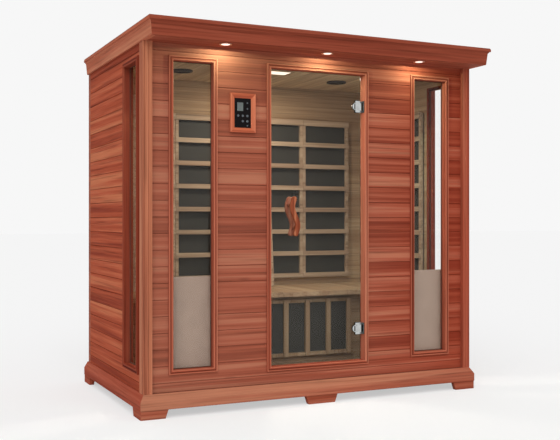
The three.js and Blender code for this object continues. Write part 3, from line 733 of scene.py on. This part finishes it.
class SAUNA_OT_cedar_shell(bpy.types.Operator):
    """Red cedar boards, posts, plinth and roof of the outside, pale lining on the inside"""

    bl_idname = "sauna.cedar_shell"
    bl_label = "Cedar shell"

    def execute(self, context):
        cedar = cedar_tones()
        self.walls(context.scene.cabin_timber, cedar)
        self.posts(cedar)
        self.plinth(cedar)
        self.roof(cedar)
        return {"FINISHED"}

    def walls(self, looks, cedar):
        rows = ("z", looks.board_base, looks.board_pitch, looks.joint_width)
        lining = {"tones": pale_tones(), "rows": rows, "seed": 400.0}
        # Painted light and shade across the outer front and back walls: paler boards towards the left, and
        # deeper red, darker boards towards the right from the second mask and the lean below.
        painted_light_left = (partial(painted_falloff, "x", 0.7, -0.9), (0.34, 0.14, 0.088), 0.34)
        painted_shade_right = (partial(painted_falloff, "x", 0.3, 0.9), (0.32, 0.026, 0.006), 0.25)
        across = timber_material(
            "cedar boards across", cedar, "x", rows, FRONT_AND_BACK, 3.0,
            (inside_room, {**lining, "grain": "x"}), (painted_light_left, painted_shade_right),
            lean=(("x", 0.3, 0.85, -0.25),), fine=1.3, vary=0.62, swing=2.9,
        )
        along = timber_material(
            "cedar boards along", tinted(cedar, 1.2, 1.05, 0.83), "y", rows, LEFT_AND_RIGHT, 230.0,
            (inside_room, {**lining, "grain": "y"}), vary=0.75, swing=2.3,
        )
        finish_nodes(across, "front_wall", "back_wall")
        finish_nodes(along, "left_wall", "right_wall")

    def posts(self, cedar):
        # Both posts are the same cedar: the left one is painted lighter as painted light, the right one
        # darker as painted shade.
        for side, shares, seed in (("left", (1.46, 2.3, 2.3), 500.0), ("right", (0.94, 0.77, 0.72), 510.0)):
            node = f"corner_post_{side}"
            finish_nodes(timber_material(f"cedar of {node}", tinted(cedar, *shares), "z", seed=seed), node)

    def plinth(self, cedar):
        # Painted light and shade on the front and back plinth: paler towards the left, darker low down at the
        # feet.
        plinth_painted_light = ("x", 0.8, -0.8, 0.45)
        feet_painted_shade = ("z", 0.052, 0.036, -0.5)
        across = timber_material(
            "cedar plinth across", tinted(cedar, 1.0, 1.1, 1.08), "x", None, FRONT_AND_BACK, 520.0,
            lean=(plinth_painted_light, feet_painted_shade),
        )
        along = timber_material(
            "cedar plinth along", tinted(cedar, 1.0, 0.86, 0.8), "y", None, LEFT_AND_RIGHT, 530.0
        )
        finish_nodes(across, "plinth_front", "plinth_back", edge=0.0015)
        finish_nodes(along, "plinth_left", "plinth_right", edge=0.0015)

    def roof(self, cedar):
        soffit_boards = ("y", -0.613, 0.0866, 0.003)
        roof_boards = ("y", -0.6, 0.3, 0.002)
        # The crown's front and the roof cover are painted darker as painted shade, and the crown's sides
        # lighter as painted light.
        shaded = tinted(cedar, 0.88)
        bright = tinted(cedar, 1.2, 1.36, 1.27)
        sides = {"tones": bright, "grain": "y", "zones": LEFT_AND_RIGHT, "seed": 560.0}
        crown = timber_material("cedar crown", shaded, "x", soffit_boards, (), 540.0, (crown_side, sides))
        finish_nodes(crown, "crown_moulding")
        finish_nodes(timber_material("roof board", shaded, "x", roof_boards, (), 580.0), "roof_cover")
        self.fillet(crown)

    def fillet(self, wood):
        """The thin square moulding under the roof edge."""
        low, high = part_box("roof_cover")
        reach, setback, thickness, drop = 0.003, 0.001, 0.014, 0.019
        size = (high.x - low.x + 2 * reach, high.y - low.y + reach - setback)
        place = ((low.x + high.x) / 2, (low.y + high.y - reach - setback) / 2, high.z - drop)
        piece = flat_ring("crown_fillet", place, size, thickness)
        thicken(piece, thickness, 1)
        ease(piece, 0.0012)
        paint_piece(piece, wood, "cabin", "red_cedar")


def side_of(node):
    """The side of the cabin that a frame or pane is in."""
    if "side" not in node:
        return "front"
    return "left" if node.endswith("left") else "right"


def outer_face(node):
    """Centre and size of the outer face of an upright frame or pane."""
    low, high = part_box(node)
    centre = (low + high) / 2
    side = side_of(node)
    if side == "front":
        centre.y = low.y
        return centre, (high.x - low.x, high.z - low.z)
    centre.x = low.x if side == "left" else high.x
    return centre, (high.y - low.y, high.z - low.z)


class SAUNA_OT_frames(bpy.types.Operator):
    """Window and door frames with their mitred face mouldings"""

    bl_idname = "sauna.frames"
    bl_label = "Frames"

    def execute(self, context):
        bright = tinted(cedar_tones(), 1.16, 1.2, 1.2)
        dark = tinted(cedar_tones(), 0.7, 0.52, 0.48)
        for number, node in enumerate(FRAMES):
            seed = 600.0 + 10.0 * number
            front = side_of(node) == "front"
            wood = self.wood(node, "x", bright, seed) if front else self.wood(node, "y", dark, seed)
            finish_nodes(wood, node)
            paint_piece(self.moulding(node), wood, "cabin", "red_cedar")
        return {"FINISHED"}

    def wood(self, node, axis, tones, seed):
        """Stiles, with rails between the mitres, a quirk painted dark as shade and two beads painted pale as
        highlights.
        """
        low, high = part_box(node)
        # The quirk is painted dark as painted shade in the groove, and the two beads pale as painted
        # highlights.
        quirk, bead = (darker(tones[0], 0.4), 0.75), (tones[3], 0.5)
        painted_bands = ((0.0072, 0.0114, quirk), (0.001, 0.0045, bead), (0.0175, 0.0215, bead))
        rail = {"tones": tones, "grain": axis, "zones": (("z", 1.0),), "seed": seed + 5.0}
        return timber_material(
            f"cedar of {node}", tones, "z", None, ((axis, middle_of(node)["xyz".index(axis)]),), seed,
            (partial(rails, axis, low, high), rail),
            [(partial(ring_band, axis, low, high, start, end), *tint) for start, end, tint in painted_bands],
        )

    def moulding(self, node):
        """Outer bead and inner bead of a frame, with a quirk between them."""
        bead_width, nosing_inset, nosing_width = 0.007, 0.0115, 0.0105
        bead = ((0.0003, 0.0015), (0.0012, 0.0015))
        nosing = ((0.0003, 0.0022), (0.0015, 0.0018), (0.0015, 0.0004))
        name, turn = f"{node}_moulding", SIDE_TURNS[side_of(node)]
        centre, size = outer_face(node)
        inside = [value - 2 * nosing_inset for value in size]
        outer = frame_ring(name, centre, size, turn, bead_width, bead)
        return join(outer, frame_ring(name + "_inner", centre, inside, turn, nosing_width, nosing))


class SAUNA_OT_glazing(bpy.types.Operator):
    """Clear panes of the windows and of the door, with the seals of the windows"""

    bl_idname = "sauna.glazing"
    bl_label = "Glazing"

    def execute(self, context):
        looks = context.scene.cabin_fittings
        glass = clear_glass(tuple(looks.glass))
        rubber = rubber_material("dark seal", looks.seal)
        for node in NODES:
            if "glass" in node:
                finish_nodes(glass, node)
            if node.startswith("window_glass"):
                self.seal(node, rubber)
        return {"FINISHED"}

    def seal(self, node, rubber):
        """A dark seal round the outer face of a pane, in the rebate of its frame."""
        width = 0.004
        steps = ((0.0003, 0.0016), (0.0009, 0.0012))
        centre = outer_face(node)[0]
        opening = [value - 2 * FRAME_FACE for value in outer_face(node.replace("glass", "frame"))[1]]
        turn = SIDE_TURNS[side_of(node)]
        ring = frame_ring(node.replace("glass", "seal"), centre, opening, turn, width, steps)
        paint_piece(ring, rubber, "cabin", "black_gland")


class SAUNA_OT_hinges(bpy.types.Operator):
    """Chrome door hinges with their pads, dark bars of painted groove shade and screws"""

    bl_idname = "sauna.hinges"
    bl_label = "Hinges"

    def execute(self, context):
        looks = context.scene.cabin_fittings
        metal = chrome_material("polished chrome", looks.chrome)
        # The leaves get a darker copy of the chrome, painted shade of the door's reveal.
        reveal_shaded_chrome = chrome_material("chrome painted with reveal shade", darker(looks.chrome, 0.5))
        rubber = rubber_material("black pad", looks.pad)
        for level in ("upper", "lower"):
            finish_nodes(metal, f"hinge_clamp_{level}", edge=0.0008)
            finish_nodes(reveal_shaded_chrome, f"hinge_leaf_{level}", edge=0.0008)
            low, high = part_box(f"hinge_clamp_{level}")
            self.pad(level, low, high, rubber)
            self.groove_shade(level, low, high, rubber)
            self.screws(level, low, high, looks.screw_radius, metal)
        return {"FINISHED"}

    def pad(self, level, low, high, rubber):
        """The thin pad between a clamp and the glass, round under the clamp's nose."""
        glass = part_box("door_glass")[0].y
        start, end, thickness, margin = 0.0145, 0.0465, 0.0006, 0.0025
        nose_radius, nose_thickness, nose_place = 0.019, 0.0003, 0.00025
        pad = block(
            f"hinge_pad_{level}",
            (low.x + start, glass - thickness, low.z - margin),
            (low.x + end, glass, high.z + margin),
        )
        ease(pad, 0.0002)
        centre = (low.x + nose_radius, glass - nose_place, (low.z + high.z) / 2)
        join(pad, disc("hinge_nose_pad", centre, nose_radius + margin, nose_thickness, "y", 48))
        paint_piece(pad, rubber, "door", "black_gland")

    def groove_shade(self, level, low, high, rubber):
        """A small dark bar in a clamp's nose, painted shade that stands for the groove between nose and
        plate.
        """
        start, end, half, face, back = 0.011, 0.0165, 0.014, 0.0002, 0.0013
        middle = (low.z + high.z) / 2
        groove_shade = block(
            f"hinge_inlay_{level}",
            (low.x + start, low.y + face, middle - half),
            (low.x + end, low.y + back, middle + half),
        )
        ease(groove_shade, 0.0004)
        paint_piece(groove_shade, rubber, "door", "black_gland")

    def screws(self, level, low, high, radius, metal):
        """Two flat screw heads with sunk sockets on a clamp."""
        inset, from_end, thickness = 0.025, 0.014, 0.0016
        heights = (low.z + from_end, high.z - from_end)
        places = [(low.x + inset, low.y - thickness / 2, height) for height in heights]
        socket = ((radius * 0.45, 0), (radius * 0.05, -0.0012))
        heads = studs(f"hinge_clamp_screws_{level}", places, radius, thickness, 0.0003, *socket)
        paint_piece(heads, metal, "door", "chrome")


class SAUNA_OT_handles(bpy.types.Operator):
    """The pair of carved door handles"""

    bl_idname = "sauna.handles"
    bl_label = "Handles"

    def execute(self, context):
        carved = ((0.16, 0.036, 0.018), (0.32, 0.08, 0.037), (0.46, 0.17, 0.085), (0.6, 0.31, 0.2))
        # The inner handle's tones are paler and greyer than the outer's, a painted reflection of the door
        # glass in front of it.
        glass_hazed = ((0.2, 0.06, 0.035), (0.3, 0.1, 0.06), (0.38, 0.17, 0.11), (0.46, 0.27, 0.19))
        for node, tones, seed in (("door_handle_outer", carved, 700.0), ("door_handle_inner", glass_hazed, 706.0)):
            finish_nodes(timber_material(f"cedar of {node}", tones, "z", seed=seed, fine=3.0), node)
        return {"FINISHED"}


class SAUNA_OT_control(bpy.types.Operator):
    """Control panel with its display, lamps and soft keys in a bevelled cedar frame"""

    bl_idname = "sauna.control"
    bl_label = "Control"

    def execute(self, context):
        looks = context.scene.cabin_fittings
        self.trim()
        finish_nodes(gloss_panel(tuple(looks.panel)), "control_panel")
        soft = spotted_material(
            "soft grey keys", looks.key, 90.0, 0.8, relief=(0.00005, 0.3),
            Roughness=0.45, Specular_IOR_Level=0.2,
        )
        finish_nodes(soft, *(f"control_key_{number}" for number in range(1, 6)), edge=0.0006)
        low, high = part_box("control_panel")
        self.display(looks, low, high)
        self.lamps(low, high, soft)
        return {"FINISHED"}

    def trim(self):
        low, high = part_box("control_trim")
        middle = middle_of("control_trim")
        cedar = tinted(cedar_tones(), 1.45, 1.55, 1.45)
        rail = {"tones": cedar, "grain": "x", "zones": (("z", middle.z),), "seed": 730.0}
        halves, second = (("x", middle.x),), (partial(rails, "x", low, high), rail)
        wood = timber_material("cedar of the control frame", cedar, "z", None, halves, 720.0, second)
        finish_nodes(wood, "control_trim", edge=0.0008)

    def display(self, looks, low, high):
        """The grey screen, with a thin raised border."""
        left, right, top, bottom = 0.0145, 0.0465, 0.0215, 0.064
        proud, sunk = 0.0012, 0.001
        screen = block(
            "control_display",
            (low.x + left, low.y - proud, high.z - bottom),
            (low.x + right, low.y + sunk, high.z - top),
        )
        inset_face(screen, FRONT, (0.0025, 0), (0.0006, -0.0008))
        ease(screen, 0.0003)
        plain = {"Roughness": 0.2, "Specular IOR Level": 0.2}
        grey = spotted_material("grey display", looks.screen, 60.0, 0.75, **plain)
        paint_piece(screen, grey, "cabin", "black_panel")

    def lamps(self, low, high, soft):
        """Three small round lamps on the control's face."""
        inset, proud, drops = 0.0695, 0.0004, (0.023, 0.052, 0.137)
        radius, thickness = 0.0042, 0.0016
        places = [(low.x + inset, low.y - proud, high.z - drop) for drop in drops]
        lamps = studs("control_lamps", places, radius, thickness, 0.0004, (0.001, 0.0006))
        paint_piece(lamps, soft, "cabin", "key_plastic")


class SAUNA_OT_lamps(bpy.types.Operator):
    """Downlights under the roof edge, and the lamp and speakers in the ceiling"""

    bl_idname = "sauna.lamps"
    bl_label = "Lamps"

    def execute(self, context):
        glow = glow_material("lit lens", (1.0, 0.8, 0.72), 1.15)
        metal = satin_metal("satin ring", (0.52, 0.4, 0.33), 0.3)
        for side in ("left", "middle", "right"):
            self.downlight(side, metal, glow)
        self.ceiling_lamp(glow_material("lit panel", tuple(context.scene.cabin_fittings.lamp), 1.25))
        finish_nodes(speaker_grille(), "speaker_left", "speaker_right")
        return {"FINISHED"}

    def downlight(self, side, metal, glow):
        """Ring, domed lens and can of one downlight."""
        low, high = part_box(f"downlight_{side}")
        x, y, _ = (low + high) / 2
        ring_radius, flange = 0.031, 0.003
        lens_radius, lens_thickness, lens_rise = 0.0208, 0.002, 0.0012
        can_radius, can_height = 0.025, 0.045
        ring = disc(f"downlight_ring_{side}", (x, y, low.z + flange / 2), ring_radius, flange, "z", 48)
        inset_face(ring, DOWN, (0.008, 0), (0.002, -0.0022))
        ease(ring, 0.0006)
        paint_piece(ring, metal, "cabin", "lamp_cover", f"downlight_{side}")
        lens = disc(f"downlight_lens_{side}", (x, y, low.z + lens_rise), lens_radius, lens_thickness, "z", 48)
        inset_face(lens, DOWN, (0.006, 0.0008), (0.007, 0.0005))
        ease(lens, 0.0003)
        paint_piece(lens, glow, "cabin", "lamp_cover")
        can = disc(f"downlight_can_{side}", (x, y, high.z - can_height / 2), can_radius, can_height, "z", 32)
        inset_face(can, UP, (0.004, 0), (0.001, -0.003))
        paint_piece(can, metal, "cabin", "lamp_cover")

    def ceiling_lamp(self, glow):
        """Pale frame and lit panel of the lamp in the ceiling."""
        margin, rise, thickness = 0.0152, 0.0012, 0.002
        low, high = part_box("ceiling_light")
        lamp = block("ceiling_light_frame", low, high)
        inset_face(lamp, DOWN, (0.014, 0), (0.0015, -0.002))
        ease(lamp, 0.0006)
        wood = timber_material("pale lamp frame", pale_tones(), "x", seed=800.0)
        paint_piece(lamp, wood, "cabin", "pale_wood", "ceiling_light")
        lit = block(
            "ceiling_light_panel",
            (low.x + margin, low.y + margin, low.z + rise),
            (high.x - margin, high.y - margin, low.z + rise + thickness),
        )
        inset_face(lit, DOWN, (0.004, 0.0006))
        paint_piece(lit, glow, "cabin", "lamp_cover")


class SAUNA_OT_bench_room(bpy.types.Operator):
    """Pale floor, ceiling, bench, guards and backrest with the dark heaters behind them"""

    bl_idname = "sauna.bench_room"
    bl_label = "Bench room"

    def execute(self, context):
        pale = pale_tones()
        self.boards(context.scene.cabin_timber, pale)
        self.guards(pale)
        self.heaters(context.scene.cabin_fittings)
        return {"FINISHED"}

    def boards(self, looks, pale):
        """Floor, ceiling and bench."""
        joint = looks.joint_width
        floor_rows = ("y", -0.42, 0.09, joint)
        ceiling_rows = ("x", 0.0, looks.board_pitch, joint)
        bench_rows = ("x", 0.0, 0.0903, joint)
        front_rows = ("z", 0.118, 0.097, joint)
        # The floor inside the room and the bench front are painted darker, painted shade of the low part of
        # the room.
        floor_painted_shade = {"tones": tinted(pale, 0.55), "grain": "x", "rows": floor_rows, "seed": 900.0}
        floor = timber_material(
            "pale floor boards", tinted(cedar_tones(), 0.4), "x", seed=905.0, second=(inside_room, floor_painted_shade)
        )
        bright, dim = tinted(pale, 1.58, 1.76, 1.82), tinted(pale, 0.7)
        ceiling = timber_material("pale ceiling boards", bright, "y", ceiling_rows, (), 930.0)
        bench = timber_material("pale bench boards", pale, "y", bench_rows, (), 960.0)
        panel = timber_material("pale bench panel", dim, "x", front_rows, (), 980.0)
        finish_nodes(floor, "floor_panel")
        finish_nodes(ceiling, "ceiling_panel")
        finish_nodes(bench, "bench_top", edge=0.003)
        finish_nodes(panel, "bench_front")

    def guards(self, pale):
        """Slatted guards of the heaters, and the loose backrest."""
        # The rails are painted lighter as painted light of the room lamp, and the slats under the bench
        # darker as painted shade of the low part of the room.
        light = tinted(pale, 1.09, 1.16, 1.32)
        rows = ("z", GUARD_RAIL_BASE, GUARD_RAIL_PITCH, 0.0)
        seams = (("x", -GUARD_SEAM), ("x", GUARD_SEAM))
        slat_rows = ("x", 0.0, BENCH_SLAT_PITCH, 0.0)
        across = timber_material("pale rails across", light, "x", rows, seams, 1000.0)
        along = timber_material("pale rails along", light, "y", rows, LEFT_AND_RIGHT, 1040.0)
        slats = timber_material("pale slats", tinted(pale, 0.7), "z", slat_rows, (), 1060.0)
        finish_nodes(across, "back_guard_left", "back_guard_middle", "back_guard_right", edge=0.002)
        finish_nodes(along, "side_guard_left", "side_guard_right", edge=0.002)
        finish_nodes(slats, "bench_guard", edge=0.002)
        finish_nodes(across, "backrest", edge=0.003)

    def heaters(self, looks):
        """Dark heating plates, and the beige backs of the front heaters."""
        plate = spotted_material(
            "dark heater plate", looks.heater, 6.0, 0.8, (0.55, 0.75), relief=(0.0003, 0.4),
            Specular_IOR_Level=0.25,
        )
        finish_nodes(plate, "back_heater", "side_heater_left", "side_heater_right", "bench_heater")
        finish_nodes(heater_back(looks.beige), "front_heater_left", "front_heater_right")


class SAUNA_OT_supply(bpy.types.Operator):
    """Power unit in the roof space and the inlet at the back"""

    bl_idname = "sauna.supply"
    bl_label = "Supply"

    def execute(self, context):
        finish_nodes(satin_metal("zinc case", (0.45, 0.47, 0.48), 0.35), "power_unit", edge=0.001)
        black = spotted_material("black inlet", (0.025, 0.025, 0.025), 60.0, 0.48, (0.4, 0.6))
        finish_nodes(black, "mains_gland", edge=0.0008)
        return {"FINISHED"}


class SAUNA_OT_stage(bpy.types.Operator):
    """Camera, floor, lamps and background"""

    bl_idname = "sauna.stage"
    bl_label = "Stage"

    def execute(self, context):
        scene = context.scene
        looks = scene.cabin_stage
        scene.view_settings.view_transform = "Standard"
        self.camera(scene)
        self.floor(looks)
        self.sky(scene, looks)
        self.lights(looks)
        return {"FINISHED"}

    def camera(self, scene):
        deselect()
        bpy.ops.object.camera_add(location=CAMERA_PLACE, rotation=(QUARTER_TURN, 0, CAMERA_TURN))
        camera = bpy.context.object
        camera.name = "studio_camera"
        camera.data.sensor_width = SENSOR_WIDTH
        camera.data.lens = FOCAL_PIXELS / IMAGE_WIDTH * SENSOR_WIDTH
        camera.data.shift_x = SHIFT_PIXELS[0] / IMAGE_WIDTH
        camera.data.shift_y = SHIFT_PIXELS[1] / IMAGE_WIDTH
        camera.data.clip_end = 200
        scene.camera = camera

    def lights(self, looks):
        """A broad soft key light, a beam under each downlight and the glow of the ceiling lamp."""
        beam_forward, beam_drop, room_drop = 0.012, 0.0055, 0.004
        beam_colour, room_colour = (0.66, 1.0, 0.74), (1, 0.9, 0.76)
        key_turn = (math.radians(48), 0, math.radians(-28))
        key = self.lamp("SUN", "soft_key", (-3, -6, 6), key_turn, looks.sun, (1, 1, 1))
        key.angle = math.radians(50)
        for side in ("left", "middle", "right"):
            x, y, _ = middle_of(f"downlight_{side}")
            place = (x, y - beam_forward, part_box(f"downlight_{side}")[0].z - beam_drop)
            beam = self.lamp("SPOT", f"downlight_beam_{side}", place, (0, 0, 0), looks.spot, beam_colour)
            beam.spot_size = math.radians(178)
            beam.spot_blend = 0.06
            beam.shadow_soft_size = 0.003
        x, y, _ = middle_of("ceiling_light")
        place = (x, y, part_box("ceiling_light")[0].z - room_drop)
        room = self.lamp("AREA", "room_lamp", place, (0, 0, 0), looks.room, room_colour)
        room.size = 0.18

    def lamp(self, kind, name, place, turn, power, colour):
        deselect()
        bpy.ops.object.light_add(type=kind, location=place, rotation=turn)
        made = bpy.context.object
        made.name = name
        made.data.energy = power
        made.data.color = colour
        made.visible_camera = False
        made.visible_transmission = False
        return made.data

    def floor(self, looks):
        """A wide pale floor that keeps the cabin's shadow."""
        evenness = 0.55
        deselect()
        bpy.ops.mesh.primitive_plane_add(size=120, location=(0, 0, 0))
        floor = settle(bpy.context.object, "studio_floor")
        material, shade, _ = new_material(
            "pale floor", Base_Color=(0.96, 0.96, 0.96), Roughness=0.9, Specular_IOR_Level=0.0
        )
        even = shade.node("ShaderNodeEmission", Color=(1.0, 1.0, 1.0), Strength=looks.backdrop)
        seen = shade.times(shade.straight_rays(), evenness)
        lit = shade.tree.nodes["Principled BSDF"]
        shade.show("Material Output", seen, lit.outputs[0], even.outputs[0])
        floor.data.materials.append(material)

    def sky(self, scene, looks):
        """Even light all round, with a background of its own brightness."""
        world = bpy.data.worlds.new("studio")
        world.use_nodes = True
        scene.world = world
        shade = Shade(world.node_tree)
        even = world.node_tree.nodes["Background"]
        even.inputs["Color"].default_value = (1, 1, 1, 1)
        even.inputs["Strength"].default_value = looks.sky
        seen = shade.node("ShaderNodeBackground", Color=(1.0, 1.0, 1.0), Strength=looks.backdrop)
        shade.show("World Output", shade.straight_rays(), even.outputs[0], seen.outputs[0])


class SAUNA_PT_dresser(bpy.types.Panel):
    """Steps that dress the cabin"""

    bl_idname = "SAUNA_PT_dresser"
    bl_label = "Sauna cabin"
    bl_space_type = "VIEW_3D"
    bl_region_type = "UI"
    bl_category = "Sauna"

    def draw(self, context):
        column = self.layout.column()
        for looks in LOOKS:
            group = getattr(context.scene, looks)
            for name in group.bl_rna.properties.keys():
                if name not in {"rna_type", "name"}:
                    column.prop(group, name)
        for step in OPERATORS:
            column.operator(step.bl_idname)


OPERATORS = (
    SAUNA_OT_cedar_shell,
    SAUNA_OT_frames,
    SAUNA_OT_glazing,
    SAUNA_OT_hinges,
    SAUNA_OT_handles,
    SAUNA_OT_control,
    SAUNA_OT_lamps,
    SAUNA_OT_bench_room,
    SAUNA_OT_supply,
    SAUNA_OT_stage,
)
LOOKS = {"cabin_timber": TimberLooks, "cabin_fittings": FittingLooks, "cabin_stage": StageLooks}


def register():
    for name, group in LOOKS.items():
        bpy.utils.register_class(group)
        setattr(bpy.types.Scene, name, PointerProperty(type=group))
    for step in (*OPERATORS, SAUNA_PT_dresser):
        bpy.utils.register_class(step)


def unregister():
    for step in (SAUNA_PT_dresser, *reversed(OPERATORS)):
        bpy.utils.unregister_class(step)
    for name, group in LOOKS.items():
        delattr(bpy.types.Scene, name)
        bpy.utils.unregister_class(group)


def main():
    register()
    bpy.ops.sauna.cedar_shell()
    bpy.ops.sauna.frames()
    bpy.ops.sauna.glazing()
    bpy.ops.sauna.hinges()
    bpy.ops.sauna.handles()
    bpy.ops.sauna.control()
    bpy.ops.sauna.lamps()
    bpy.ops.sauna.bench_room()
    bpy.ops.sauna.supply()
    bpy.ops.sauna.stage()


if __name__ == "__main__":
    main()
